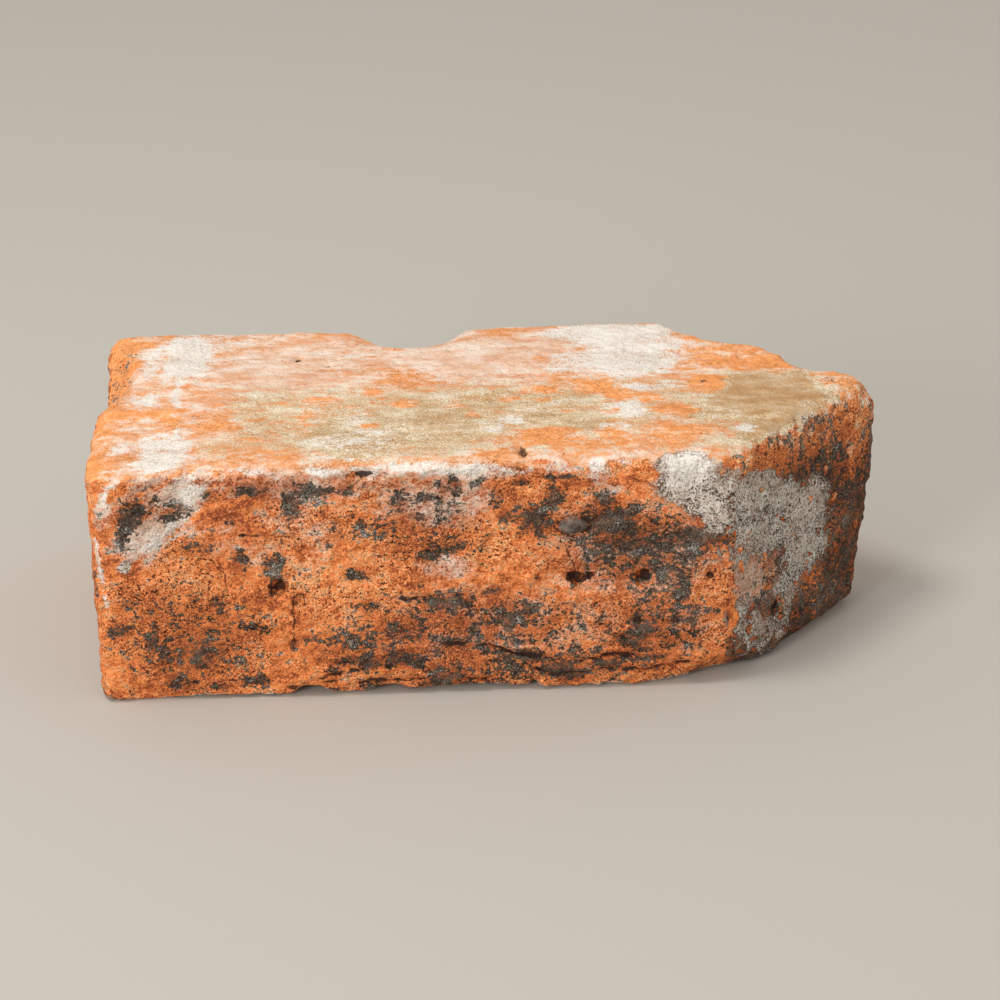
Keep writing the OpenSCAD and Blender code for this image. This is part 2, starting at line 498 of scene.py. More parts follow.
# Films and stains, placed face by face as marks whose edges the finish then breaks into flecks. On the
# stretcher face a mark's place is along and up; on the struck bed along and back, running on over the front
# arris; on the squint face from its blunt corner and up. Then come its half sizes, its tilt and its strength.
front_soot = [
    (-103, 57.5, 6.2, 2.6, 65, 1.2), (-91, 59.5, 4.5, 2.6, 40, 0.85), (-97, 62, 3.5, 1.6, 30, 0.7),
    (-106, 50, 1.7, 2.8, -2, 0.7), (-95.5, 64, 2.3, 1.2, 20, 0.8), (-87, 61, 2, 1.6, 30, 0.9),
    (-68, 66, 5.5, 1.9, -2, 1.05), (-57, 62, 2.3, 4.7, -2, 0.95), (-51, 65, 6.5, 1.9, -2, 1.08),
    (-42, 65, 2.8, 2.0, -2, 1.05), (-80, 64, 2.3, 1.8, -2, 0.65), (-69, 54, 3.2, 1.1, -2, 0.7),
    (-74, 56, 1.7, 1.3, -2, 0.7), (-38, 55, 1.3, 1.8, -2, 1), (-31, 53, 4.9, 3.2, -2, 0.7),
    (-41, 53, 5.8, 3.8, -2, 0.45), (-85, 49, 4.3, 2.6, -2, 0.6), (-73, 43, 2.2, 4.2, -2, 0.8),
    (-62, 43, 2.3, 4.2, -2, 0.95), (-47, 48, 1.4, 0.9, -2, 0.8), (-40, 39, 3.8, 2.1, -2, 1),
    (-80, 30, 2.4, 2.9, -2, 0.8), (-85, 31, 1.6, 2.9, -2, 0.75), (-69, 23, 4.4, 1.7, -2, 0.8),
    (-97, 30, 2.9, 5.2, -2, 0.5), (-108, 23, 2.6, 2.7, -2, 0.8), (-99, 20, 1.9, 5.2, -13, 1),
    (-95, 16, 2.9, 2.6, -2, 0.8), (-104, 32, 2.9, 2.9, -2, 0.55), (-85, 13, 2.5, 3.3, -2, 0.95),
    (-90, 6.4, 3.8, 2.3, -2, 0.85), (-80, 5.4, 3.6, 1.7, -2, 0.9), (-69, 5.7, 4.4, 1.9, -2, 0.9),
    (-95, 9.9, 4.1, 1.1, -2, 0.6), (-105, 8.9, 0.8, 3, -2, 0.7), (-76, 18, 6.4, 1.3, -2, 0.55),
    (-53, 19, 2.5, 0.9, -2, 0.9), (-58, 17, 1.2, 1.7, -2, 1), (-37, 29, 3.2, 1.4, -2, 0.7),
    (-36, 20, 5.3, 3.3, -2, 0.6), (-40, 11, 7.7, 2.1, -2, 1), (-47, 8.9, 1.9, 2, -2, 0.9),
    (-42, 15, 6.5, 2.6, -2, 0.6), (-35, 2.8, 4.4, 1.3, -2, 0.8), (-47, 2.2, 2.5, 0.9, -2, 0.7),
    (-31, 25, 3.5, 3.9, -2, 0.5), (-26, 61, 2.6, 3.2, -2, 0.9), (-20, 62, 3.7, 1.3, -2, 0.85),
    (-21, 56, 2.4, 2, -2, 0.85), (-11, 66, 2.1, 2.9, -2, 1), (-15, 65, 1.7, 1.3, -2, 0.85),
    (-4.2, 66, 1.5, 1.3, -2, 1), (-21, 52, 10, 3.2, -2, 0.6), (-12, 47, 4.9, 3.8, -2, 0.6),
    (-13, 57, 3.5, 3.2, -2, 0.6), (-19, 45, 3.8, 2.7, -2, 0.85), (3.6, 55, 1.9, 1.7, -2, 0.85),
    (11, 54, 4.9, 4.8, -2, 0.85), (17, 61, 2.4, 3.5, -2, 1), (7.8, 66, 2.4, 1, -2, 1),
    (16, 67, 1.5, 0.6, -2, 1), (21, 67, 3.2, 0.6, -2, 1), (1.9, 61, 1.7, 3.2, -2, 0.55),
    (33, 53, 7.8, 5.1, -2, 1), (38, 48, 8.7, 3.8, -2, 1), (31, 60, 2.9, 2.8, -2, 0.95),
    (40, 57, 2.9, 3.2, -2, 0.7), (49, 40, 8.8, 7.7, -2, 0.72), (40, 42, 3.5, 2.6, -2, 0.8),
    (31, 44, 4.1, 2.6, -2, 0.75), (26, 39, 3.2, 1.7, -2, 0.85), (34, 37, 4.7, 2.6, -2, 0.5),
    (51, 47, 6.4, 3.8, -2, 0.9), (-13, 29, 8.8, 2.5, -2, 0.85), (-0.2, 32, 3.8, 1.4, -2, 0.85),
    (5.5, 25, 8.8, 3.3, -2, 0.7), (-25, 20, 7.6, 3.9, -2, 0.8), (-9.9, 15, 8.8, 3.9, -2, 0.6),
    (2.6, 22, 3.5, 3.3, -2, 0.8), (-5.1, 23, 7, 2.6, -2, 0.6), (-21, 35, 1.4, 1.9, -2, 0.8),
    (11, 19, 11, 3.9, -2, 0.4), (18, 24, 4.1, 2, -2, 0.55), (40, 15, 5.6, 2.8, -2, 0.85),
    (30, 19, 4.7, 2.6, -2, 0.5), (46, 21, 5.9, 3.9, -2, 0.55), (45, 29, 5.3, 3.9, -2, 0.55),
    (-27, 11, 6.5, 2.6, -2, 1), (7.7, 11, 8, 2, -2, 0.9), (19, 5.9, 6.8, 2.8, -2, 1),
    (-14, 3.4, 7.4, 2.7, -2, 0.85), (-5.3, 6.7, 3.8, 1, -2, 0.8), (31, 7.8, 5.6, 1.1, -2, 0.85),
    (43, 10, 7.7, 1.3, -2, 0.85), (-0.5, 14, 7.1, 1.4, -2, 0.6), (59, 48, 8.4, 2.8, -2, 1),
    (45, 52, 3.3, 2.3, -2, 0.9), (54, 43, 7.7, 3.9, -2, 0.72), (54, 30, 3.3, 3.7, -2, 0.8),
    (49, 27, 3.1, 3.4, -2, 0.55), (63, 23, 3.2, 2.1, -2, 0.9), (44, 18, 3.4, 4, -2, 0.85),
    (48, 22, 4.1, 2.3, -2, 0.5), (52, 14, 3.6, 1.7, -2, 0.45), (46, 9.4, 4.2, 0.7, -2, 0.9),
    (58, 13, 2.1, 1.2, -2, 0.6),
]
squint_bare = [
    (40, 19, 6, 4, -21, 0.7), (52, 32, 5, 7, -20, 0.7), (43, 10, 6.5, 2.5, -21, 0.5),
    (62, 59, 7, 9, -18, 0.9), (-6, 21, 8, 4.5, -21, 0.9), (-10, 36, 8, 6.5, -21, 1),
    (9, 31, 11, 7, -21, 1.2), (30, 68, 20, 3, -25, 0.35), (4, 72, 14, 4, -22, 0.9),
]
front_bare = [
    (62.5, 32.5, 5, 6.5, -2, 1), (65, 19, 5, 4.5, -2, 0.9), (8, 40, 15, 5, -2, 0.9),
    (-12, 37, 9, 3, -2, 0.8), (40, 64, 9, 5, -2, 0.8), (-62, 50, 9, 4, -10, 0.9),
    (-52, 26, 6, 5, -2, 0.7),
]
front_smudge = [
    (42, 45, 22, 13, -2, 0.80), (-4, 22, 32, 9, -2, 0.66), (50, 20, 17, 10, -2, 0.72),
    (-38, 15, 14, 8, -2, 0.70), (-18, 49, 16, 7, -2, 0.56), (-88, 20, 20, 15, -2, 0.56),
    (-55, 62, 14, 5, -2, 0.10), (16, 8, 44, 6, 0, 0.66),
]
front_lime = [
    (54.5, 69, 7.5, 6.5, -2, 0.8), (-85, 65.5, 4.6, 2.9, 35, 0.9), (-87, 70.5, 3.6, 1.9, 20, 0.8),
    (-96, 51.5, 5.5, 1.6, 35, 0.62), (-91.5, 54.5, 5, 1.6, 35, 0.58), (-107, 67.5, 3, 0.9, 20, 0.9),
    (-110, 64, 2.8, 0.9, 40, 0.9), (28, 67, 2, 2.7, -2, 0.7), (34, 64, 2.9, 1.5, -2, 0.55),
]
front_mortar = [
    (53.3, 71.3, 7.4, 4.2, -2, 1.2), (56.5, 63, 10, 5.5, -2, 1.15), (64, 54, 6.5, 5.2, -2, 0.95),
    (70, 61, 6.5, 7, -2, 1.05), (61, 57, 6.5, 4.5, -2, 1.0), (-106, 43, 2.1, 2.4, -2, 0.85),
]
squint_mortar = [
    (-5, 62, 10, 7, -19, 1), (10, 56.5, 14, 7, -19, 1.04), (24, 50, 13, 6, -19, 1.0),
    (35.5, 43.5, 12, 8.5, -20, 1.03), (15, 43, 20, 6.5, -20, 0.94), (35.5, 31, 11, 9.5, -20, 0.95),
    (26.5, 21, 8, 6.6, -21, 0.74), (24, 11.5, 5, 7, -9, 0.62), (11, 10, 11, 9.5, -9, 0.58),
    (3.5, 20, 5.5, 6.5, -21, 0.52), (0.5, 39.5, 11.5, 2.8, -20, 0.6), (-6, 54.5, 10, 4.6, -20, 0.86),
]
front_film = [
    (-95, 59, 16, 8.5, 38, 0.78), (-111, 60, 2.4, 5, -2, 0.6), (-14, 40, 8.2, 3.9, -2, 0.5),
    (-17, 61, 17, 9, -2, 0.56), (33, 66, 6.9, 5, -2, 0.4), (-52, 67, 32, 4.5, -2, 0.58),
    (4, 21, 42, 13, -2, 0.26), (40, 44, 28, 16, -2, 0.35), (50, 19, 18, 11, -2, 0.24),
    (-60, 52, 22, 12, -2, 0.22),
]
squint_film = [
    (6.6, 32, 10, 5.8, -21, 1), (19, 32, 4.9, 3.5, -20, 0.7), (10, 23, 8.7, 2.9, -21, 0.6),
    (42, 62, 28, 8, -21, 0.14),
]
top_soot = [
    (65.3, 0.5, 1.8, 2.0, -4, 1.4), (70.5, 2.5, 1.3, 2.2, -4, 1.3), (102, -1.5, 2.4, 2.6, -4, 1.2),
]
top_lime = [
    (-28, -55, 28, 2.0, 0, 0.55), (2, -56.5, 14, 1.6, 0, 0.5), (-91.5, 0, 1.2, 46, 1, 0.8),
    (-90, 32, 8.1, 19, -4, 1.15), (-101, 26, 3.7, 12, -4, 0.9), (-94, -40, 8.2, 13, -4, 1.15),
    (-106, -37, 3.2, 4.5, -4, 0.8), (-101, -1.7, 6.1, 6.1, -4, 0.7), (-91, -0.8, 1.8, 11, -4, 0.75),
    (-83, 45, 10, 7, -4, 0.6), (-50, -55, 4.9, 1.6, -4, 0.9), (-36, -55, 7.4, 2.2, -4, 0.75),
    (-42, -50, 12, 1, -4, 0.7), (-68, -55, 4.6, 1.2, -4, 0.7), (-20, -55, 13, 2.4, -4, 0.75),
    (-4.2, -56, 6, 2, -4, 0.7), (4.9, -57, 6.3, 1.4, -4, 0.75), (17, -57, 6, 1.6, -4, 0.5),
    (29, -56, 3.1, 3.5, -4, 0.85), (37, -55, 2.6, 1.2, -4, 0.7), (41, 41, 21, 10, -4, 1.15),
    (44, 21, 17, 14, -4, 1.12), (24, 17, 6.8, 11, -4, 0.7), (46, -3.2, 4.8, 3.2, -4, 0.9),
    (40, -19, 5.7, 7, -4, 0.85), (36, -31, 5.6, 2.4, -4, 0.7), (6.8, -25, 4.4, 3.7, -4, 0.8),
    (1.3, -30, 2.9, 4.2, -4, 0.65), (51, -27, 4.1, 2.1, -4, 0.7), (-6.4, 46, 2.5, 2.5, -4, 0.7),
    (73, -36, 3.3, 2.9, -4, 1), (79, 19, 2.8, 2.2, -4, 0.7), (56, -1.6, 3.2, 3.7, -4, 0.6),
    (56, 32, 6.6, 11, -4, 0.9), (55, 14, 5.5, 8.1, -4, 0.8), (97, 7.2, 1.7, 1.9, -4, 0.8),
    (-37, -19, 4.2, 7.7, -4, 0.5), (-39, -37, 12, 8.2, -4, 0.55),
]
top_haze = [
    (-60, 20, 28, 30, -4, 0.95), (-72, -2.2, 15, 11, -4, 0.7), (-32, 24, 15, 20, -4, 0.85),
    (-3.3, 25, 27, 22, -4, 1), (19, 32, 19, 19, -4, 0.95), (5.2, 6.4, 18, 11, -4, 0.8),
    (-94, -58, 9.1, 4, -4, 0.6), (63, 22, 4.5, 12, -4, 0.6), (-30, -56, 44, 3.4, -2, 0.75),
]
top_dirt = [
    (-60, -23, 14, 12, -4, 0.65), (-39, -34, 14, 15, -4, 1), (-74, -42, 9.3, 8.1, -4, 0.6),
    (-17, -27, 19, 17, -4, 1), (11, -10, 23, 9.5, -4, 0.8), (21, -28, 13, 11, -4, 1),
    (3.5, -34, 9.4, 7.5, -4, 0.7), (79, -9.9, 13, 14, -4, 1.7), (92, -8.3, 9, 10, -4, 1.7),
    (63, -22, 8.7, 6.3, -4, 0.95), (88, -25, 22, 5, 48, 1.6), (81, -28, 8, 6.5, -4, 1.5),
    (95, 2, 3, 5.3, -4, 1.2),
]
top_clear = [
    (-78, -23, 5.6, 4.6, -4, 1), (-93, -16, 3.6, 7.8, -4, 0.9), (-102, -14, 12, 3.4, -4, 0.8),
    (-49, -5.6, 5.1, 2.9, -4, 0.9), (-34, -1.9, 3.9, 2.6, -4, 0.9), (-53, -18, 2, 5.3, -4, 0.7),
    (-35, -27, 3, 2.3, -4, 0.8), (-69, -34, 2.9, 1.8, -4, 0.6), (-29, 7.4, 4.9, 3.3, -4, 0.7),
    (-73, -50, 13, 2.2, -4, 0.8), (-42, 29, 1.9, 3.1, -4, 0.6), (-108, 42, 7.6, 6.9, -4, 0.9),
    (-109, 22, 4.3, 13, -4, 0.9), (-27, 32, 4.1, 4.1, -4, 0.8), (-24, 12, 8.6, 6.2, -4, 0.85),
    (-24, -11, 3.3, 1.9, -4, 0.9), (-10, -13, 2.3, 1.9, -4, 0.8), (-4.8, -20, 2.3, 1.9, -4, 0.7),
    (16, -2.5, 4.5, 2.9, -4, 0.95), (8.2, -8.3, 3, 2.2, -4, 0.7), (17, -9.7, 2.7, 1.6, -4, 0.7),
    (32, 0.3, 5.8, 4.2, -4, 1), (39, -7.5, 4.5, 4.8, -4, 1), (47, -11, 3.3, 3.2, -4, 1),
    (36, -21, 2.5, 1.9, -4, 0.9), (55, -21, 6.2, 2.8, -4, 0.9), (23, -19, 2.7, 1.2, -4, 0.7),
    (16, -38, 9.3, 6.7, -4, 1), (35, -38, 5.5, 5.1, -4, 0.9), (52, -39, 6.7, 7.2, -4, 0.9),
    (0.6, -49, 8.1, 3.3, -4, 0.8), (40, -59, 6.5, 3.2, -4, 0.9), (16, 23, 2.5, 2, -4, 0.6),
    (0.9, 38, 2.8, 1.7, -4, 0.6), (-15, 42, 3.1, 4.3, -4, 0.8), (75, 17, 12, 8.8, -4, 0.8),
    (87, 16, 5.5, 7.5, -4, 1), (66, -1, 5.7, 7.9, -4, 0.95), (73, 34, 11, 2.5, -4, 1),
    (54, -22, 6.5, 2.3, -4, 0.9), (54, -38, 10, 5.5, -4, 0.9), (105, 3.2, 4.9, 3.5, -4, 0.8),
    (80, -28, 5, 1.5, 20, 0.6), (98, -19, 5.8, 5.1, -4, 0.5), (105, -4, 7, 8, 48, 0.8),
    (28, -43, 22, 6, -4, 0.7), (77, 23, 15, 9, -4, 0.85), (-66, -46, 16, 4, -4, 0.5),
]

points = vertex_places(skin.data)
normals = vertex_normals(skin.data)
x, y, z = points.T
on_top = facing(normals, (0, 0, 1)) * smooth(56, 63, z)
on_bed = facing(normals, (0, 0, -1)) * smooth(3, 1.5, z)
squint_share = smooth(-0.12, 0.12, normals @ squint_out + normals[:, 1])
on_front = facing(normals, (0, -1, 0)) * (1 - squint_share)
on_squint = facing(normals, squint_out) * squint_share
sheet = np.maximum(on_top, on_front)
unseen = np.clip(1 - np.maximum(sheet, on_squint), 0, 1)
stray_along = 3.0 * grain(points, 8, 31) + 1.4 * grain(points, 3, 32)
stray_up = 2.4 * grain(points, 8, 33) + 1.2 * grain(points, 3, 34)
along = x + stray_along
up = z + y + half_width + stray_up
back = y - (height - z) + stray_up
over = squint_run(points) + stray_along
front_part = sheet * smooth(82, 76, up)
top_part = sheet * smooth(-66, -62, back)


def stretcher(marks, spread=1.0):
    return front_part * spots(along, up, marks, spread)


def bed(marks, spread=1.0):
    return top_part * spots(along, back, marks, spread)


def squint(marks, spread=1.0):
    return on_squint * spots(over, z + stray_up, marks, spread)


def most(*fields):
    return np.maximum.reduce(fields)


# Taken off a field, this leaves it so far under its threshold that not a fleck shows.
none_left = 0.6
cloud = rough(points, 30, 51, 3)
clear = bed(top_clear, 1.1)
squint_skin = on_squint * (1.05 - 0.62 * smooth(54, 66, z + stray_up))
thicker = 0.98 + 0.20 * smooth(-40, 10, along)
soot = most(thicker * stretcher(front_soot, 1.2), stretcher(front_smudge), squint_skin, 0.08 * front_part)
soot = soot * (1 - 0.7 * most(stretcher(front_bare, 1.1), 0.8 * squint(squint_bare, 1.1)))
# Painted shade: the spalled facet at the square end is darkened a little through the soot.
spalled_end_shade = smooth(-101, -107, x) * smooth(-14, -2, y) * smooth(42, 32, y) * smooth(58, 64, z)
# The broken foot is darkened through the soot towards the floor: partly its own brown stain, partly painted
# shade.
foot_stain_and_shade = smooth(64, 69, along) * smooth(-18, -30, y) * smooth(20, 12, z)
soot = most(
    soot - none_left * on_top,
    unseen * smooth(-0.2, 0.7, cloud) * 0.9 - on_top,
    0.3 * spalled_end_shade - none_left * (1 - spalled_end_shade),
    bed(top_soot) - none_left,
    foot_stain_and_shade - none_left * on_top,
)
unseen_mortar = unseen * smooth(0.3, 0.9, rough(points, 34, 61, 3))
mortar = most(stretcher(front_mortar), squint(squint_mortar), unseen_mortar)
unseen_lime = unseen * smooth(0.1, 0.8, rough(points, 26, 57, 3)) * 0.9
lime = most(stretcher(front_lime), bed(top_lime), unseen_lime)
haze = most(bed(top_haze), stretcher(front_film), squint(squint_film), 0.7 * on_bed, 0.6 * on_top)
dusty = smooth(-84, -70, along) * smooth(14, -4, back) * smooth(-54, -46, back)
dusty_point = smooth(52, 66, along) * smooth(12, 0, back)
dirt = most(bed(top_dirt, 1.25), 0.6 * top_part * dusty, 0.42 * top_part * dusty_point)
lime, haze, dirt = lime * (1 - 0.7 * clear), haze * (1 - 0.85 * clear), dirt * (1 - 0.95 * clear)
haze = haze * (1 - 0.7 * on_top * smooth(-103, -112, x))
soot = soot * (1 - 0.6 * smooth(0.7, 1.0, mortar)) * (1 - 0.5 * smooth(0.6, 0.9, lime))

# Two thin crests of lime run down the worn quoin.
quoin_crests = [
    [(-109.6, 56.5), (-108.4, 52.0), (-107.2, 47.5), (-106.8, 44.5)],
    [(-113.2, 51.0), (-112.4, 42.0), (-111.4, 33.0), (-110.8, 26.0)],
]
crest_strength, crest_width = 0.80, 0.9
crest_parts = smooth(-0.15, 0.2, grain(points, 5, 64)) * (normals[:, 1] < -0.3)
for line in quoin_crests:
    away = line_distance(x + 0.8 * grain(points, 4, 63), z, line)
    lime = most(lime, crest_strength * np.exp(-((away / crest_width) ** 2)) * crest_parts)

# Cracks are kept as the distance to their line, so that the finish can draw them finer than the net.
cracks = [
    [(-57.8, 33.5), (-58.1, 27.0), (-57.7, 22.5), (-58.5, 17.5)],
    [(-57.8, 33.0), (-55.0, 32.6), (-54.6, 29.6)],
    [(20.1, 46.5), (20.9, 43.0), (22.6, 40.4), (22.9, 36.0)],
    [(-84.0, 45.0), (-80.0, 43.6), (-77.2, 40.0), (-77.0, 35.0)],
    [(5.7, 8.5), (8.0, 6.1), (10.3, 4.1), (10.9, 1.1)],
]
far_off = 9.0
crack = np.full(len(x), far_off)
for line in cracks:
    away = line_distance(x + 0.9 * grain(points, 3, 61), z + 0.7 * grain(points, 3, 62), line)
    crack = np.where(np.abs(away) < np.abs(crack), away, crack)
crack = np.where(near_front(points) > 0.5, crack, far_off)

# Painted shade inside the clefts, the holes and the ring round the stone.
cleft = fold_shapes(points)[0]
stone_share = from_stone(points) + 0.12 * grain(points, 2.5, 65)
pebble = near_front(points) * (1 - smooth(0.92, 1.04, stone_share))
stone_ring_shade = 0.85 * near_front(points) * np.exp(-(((stone_share - 1.15) / 0.14) ** 2))
shade = np.clip(most(0.62 * cleft, 0.55 * hole_depth(points), stone_ring_shade), 0, 1)

for name, values in {
    "soot": soot,
    "lime": lime,
    "haze": haze,
    "dirt": dirt,
    "mortar": mortar,
    "crack": crack,
    "shade": shade,
    "pebble": pebble,
    "struck": on_top,
    "brushed": front_part * smooth(-70, -82, along),
}.items():
    layer = skin.data.attributes.new(name, "FLOAT", "POINT")
    layer.data.foreach_set("value", values.astype(np.float32))
skin.data.attributes.remove(skin.data.attributes["pitted"])

# The finish of the fired clay: sandy orange body, then film over film, each with its own flecked edge.
fired_clay.use_nodes = True
tree = fired_clay.node_tree
tree.nodes.clear()
place = add_node(tree, "ShaderNodeTexCoord").outputs["Object"]


def noise(lumps_mm, detail, roughness, stretch=(1, 1, 1), warp=0.0, tilt=0.0):
    """Noise with lumps of about the given size in millimetres, mostly from -0.6 to 0.6.
    The lumps may be stretched, and tilted in degrees as seen on the stretcher face."""
    scale = [MM * lumps_mm * s for s in stretch]
    turned = (0, -math.radians(tilt), 0)
    where = add_node(
        tree,
        "ShaderNodeMapping",
        {"Vector": place, "Rotation": turned, "Scale": scale},
        vector_type="TEXTURE",
    )
    look = {"Scale": 1.0, "Detail": detail, "Roughness": roughness, "Distortion": warp}
    made = add_node(tree, "ShaderNodeTexNoise", {"Vector": where.outputs[0], **look}, normalize=False)
    return made.outputs["Fac"]


def field(name):
    """One of the skin's own fields, as it was stored above."""
    return add_node(tree, "ShaderNodeAttribute", attribute_name=name).outputs["Fac"]


def weigh(*parts):
    """Sum of values, each times a number."""
    total = None
    for value, share in parts:
        step = math_node("MULTIPLY", value, share)
        total = step if total is None else math_node("ADD", total, step)
    return total


def between(value, low, high, to_low=0.0, to_high=1.0):
    """Eases a value that runs between two limits to run between two others."""
    made = add_node(
        tree,
        "ShaderNodeMapRange",
        {"Value": value, "From Min": low, "From Max": high, "To Min": to_low, "To Max": to_high},
        interpolation_type="SMOOTHSTEP",
    )
    return made.outputs[0]


def blend(share, under, over):
    """One colour laid over another with a share from 0 to 1."""
    made = add_node(tree, "ShaderNodeMix", {0: share, 6: under, 7: over}, data_type="RGBA")
    return made.outputs[2]


def tones(value, stops):
    """Colours by value, from stops of a place and a colour each."""
    ramp = add_node(tree, "ShaderNodeValToRGB", {0: value})
    while len(ramp.color_ramp.elements) < len(stops):
        ramp.color_ramp.elements.new(0.5)
    for element, (at, colour) in zip(ramp.color_ramp.elements, stops):
        element.position = at
        element.color = (*colour, 1)
    return ramp.outputs[0]


# Random fields from broad clouds down to single grains of sand; drag runs lengthwise on the struck bed, and
# smear is tilted, as a brush left it on the stretcher face.
broad = noise(28, 2, 0.5)
mottle = noise(9, 6, 0.66, (1.7, 1, 1))
fleck = noise(2.6, 5, 0.68, (1.5, 1, 1))
crumble = noise(0.9, 3, 0.65, (1.2, 1, 1))
speck = noise(0.5, 3, 0.65)
pinprick = noise(1.0, 2, 0.5, (1.3, 1, 1))
drag = math_node("MULTIPLY", noise(3.0, 4, 0.6, (3.0, 1, 1), 0.7), field("struck"))
smear = noise(2.4, 4, 0.62, (4.0, 1, 1), 0.5, 35)

# The clay itself, sandier in some stretches than in others, with painted shade in the pits where grains fell
# out.
sanded = noise(13, 3, 0.6, (1.6, 1, 1))
coarse = between(sanded, -0.30, 0.35, 0.55, 1.15)
sand_speck = math_node("MULTIPLY", speck, coarse)
sandy = weigh((mottle, 0.34), (broad, 0.22), (sand_speck, 0.68), (crumble, 0.30), (fleck, 0.42))
sandy = math_node("ADD", sandy, 0.53)
clay = tones(
    sandy,
    [
        (0.00, (0.260, 0.066, 0.024)),
        (0.24, (0.520, 0.138, 0.042)),
        (0.46, (0.780, 0.215, 0.058)),
        (0.72, (0.895, 0.310, 0.098)),
        (1.00, (0.935, 0.490, 0.235)),
    ],
)
pits = math_node("MULTIPLY", between(pinprick, -0.40, -0.48), between(sanded, -0.30, 0.20, 0.2, 1.0))
pit_shade_tone, struck_clay = (0.050, 0.018, 0.011, 1), (0.850, 0.360, 0.115, 1)
# Painted shade: the pits are blended towards near black.
clay = blend(math_node("MULTIPLY", pits, 0.9), clay, pit_shade_tone)
clay = blend(math_node("MULTIPLY", field("struck"), 0.6), clay, struck_clay)

# Thin lime film: pinkish on the struck bed, a greyer wash on the moulded faces.
daub = math_node("MULTIPLY", smear, field("brushed"))
film = weigh((field("haze"), 0.9), (drag, 0.2), (mottle, 0.35), (fleck, 0.3), (speck, 0.25), (daub, 0.6))
haze_share = math_node(
    "MULTIPLY", between(field("haze"), 0.0, 0.3), between(film, 0.0, 0.85, 0.0, 0.94)
)
haze_tone = tones(
    math_node("ADD", weigh((mottle, 0.45), (drag, 0.35), (speck, 0.2)), 0.5),
    [(0.15, (0.680, 0.385, 0.245)), (0.50, (0.755, 0.515, 0.375)), (0.85, (0.820, 0.665, 0.550))],
)
clouded = math_node("ADD", mottle, 0.5)
wash_tone = tones(clouded, [(0.25, (0.560, 0.385, 0.285)), (0.75, (0.780, 0.660, 0.550))])
film_tone = blend(field("struck"), wash_tone, haze_tone)
colour = blend(haze_share, clay, film_tone)

# Olive dust on the struck bed, browner where it lies thick.
dirt_tone = tones(
    math_node("ADD", weigh((speck, 0.55), (drag, 0.15), (mottle, 0.3)), 0.5),
    [
        (0.10, (0.330, 0.215, 0.105)),
        (0.40, (0.550, 0.375, 0.195)),
        (0.62, (0.625, 0.485, 0.300)),
        (0.90, (0.850, 0.770, 0.600)),
    ],
)
thick_tone = tones(clouded, [(0.2, (0.440, 0.245, 0.098)), (0.8, (0.520, 0.330, 0.160))])
dirt_tone = blend(between(field("dirt"), 0.95, 1.35, 0, 0.85), dirt_tone, thick_tone)
dust = weigh((field("dirt"), 1.0), (drag, 0.15), (mottle, 0.3), (fleck, 0.25), (speck, 0.2))
dirt_share = between(dust, 0.16, 0.80, 0, 0.88)
colour = blend(dirt_share, colour, dirt_tone)

# Soot: a brown stain round crusts of black flecks.
stain = weigh((field("soot"), 0.75), (mottle, 0.2), (fleck, 0.5), (crumble, 0.6))
stain_brown = (0.205, 0.082, 0.026, 1)
colour = blend(between(stain, 0.25, 0.80, 0, 0.5), colour, stain_brown)
crust = weigh((field("soot"), 0.85), (mottle, 0.38), (fleck, 0.48), (crumble, 0.48), (speck, 0.25))
soot_share = between(crust, 0.54, 0.60)
soot_tone = tones(
    math_node("ADD", weigh((mottle, 0.35), (speck, 0.85)), 0.5),
    [(0.10, (0.012, 0.007, 0.004)), (0.50, (0.036, 0.028, 0.021)), (0.95, (0.108, 0.092, 0.074))],
)
colour = blend(math_node("MULTIPLY", soot_share, between(fleck, -0.4, 0.4, 0.80, 0.96)), colour, soot_tone)

# Mortar: grey and gritty, paler where it lies thick and with red clay rubbed into it.
cover = weigh((field("mortar"), 1.1), (fleck, 0.32), (mottle, 0.15), (speck, 0.15))
mortar_share = between(cover, 0.28, 0.60, 0, 0.93)
gritty = weigh((mottle, 0.12), (speck, 0.85), (crumble, 0.6), (fleck, 0.36), (field("mortar"), 0.70))
mortar_tone = tones(
    math_node("ADD", gritty, 0.08),
    [
        (0.05, (0.045, 0.043, 0.041)),
        (0.30, (0.140, 0.122, 0.103)),
        (0.52, (0.345, 0.297, 0.246)),
        (0.70, (0.585, 0.530, 0.455)),
        (0.95, (0.720, 0.675, 0.600)),
    ],
)
blush = between(weigh((mottle, 0.7), (fleck, 0.5), (field("mortar"), -0.4)), -0.35, 0.25, 0, 0.5)
rubbed_clay = (0.400, 0.235, 0.160, 1)
mortar_tone = blend(blush, mortar_tone, rubbed_clay)
colour = blend(mortar_share, colour, mortar_tone)

# Lime: nearly white, over all the rest.
white = weigh((field("lime"), 1.0), (drag, 0.12), (mottle, 0.25), (fleck, 0.36), (speck, 0.25))
lime_share = between(white, 0.22, 0.92, 0, 0.95)
lime_tone = tones(
    math_node("ADD", weigh((mottle, 0.3), (speck, 0.6)), 0.5),
    [(0.05, (0.560, 0.470, 0.390)), (0.45, (0.780, 0.705, 0.620)), (0.90, (0.860, 0.810, 0.740))],
)
colour = blend(lime_share, colour, lime_tone)

# The stone, and painted shade in the cracks, clefts and holes.
pebble_tone = tones(clouded, [(0.2, (0.070, 0.050, 0.040)), (0.8, (0.240, 0.180, 0.145))])
colour = blend(field("pebble"), colour, pebble_tone)
crack_width = math_node("ABSOLUTE", field("crack"), 0.0)
crack_shade = between(weigh((crack_width, 1.0), (speck, 0.20), (fleck, 0.25)), 0.20, 0.06, 0, 0.85)
shaded = weigh((field("shade"), 1.0), (fleck, 0.3), (speck, 0.15))
hollow_shade = math_node("MAXIMUM", crack_shade, between(shaded, 0.38, 0.62))
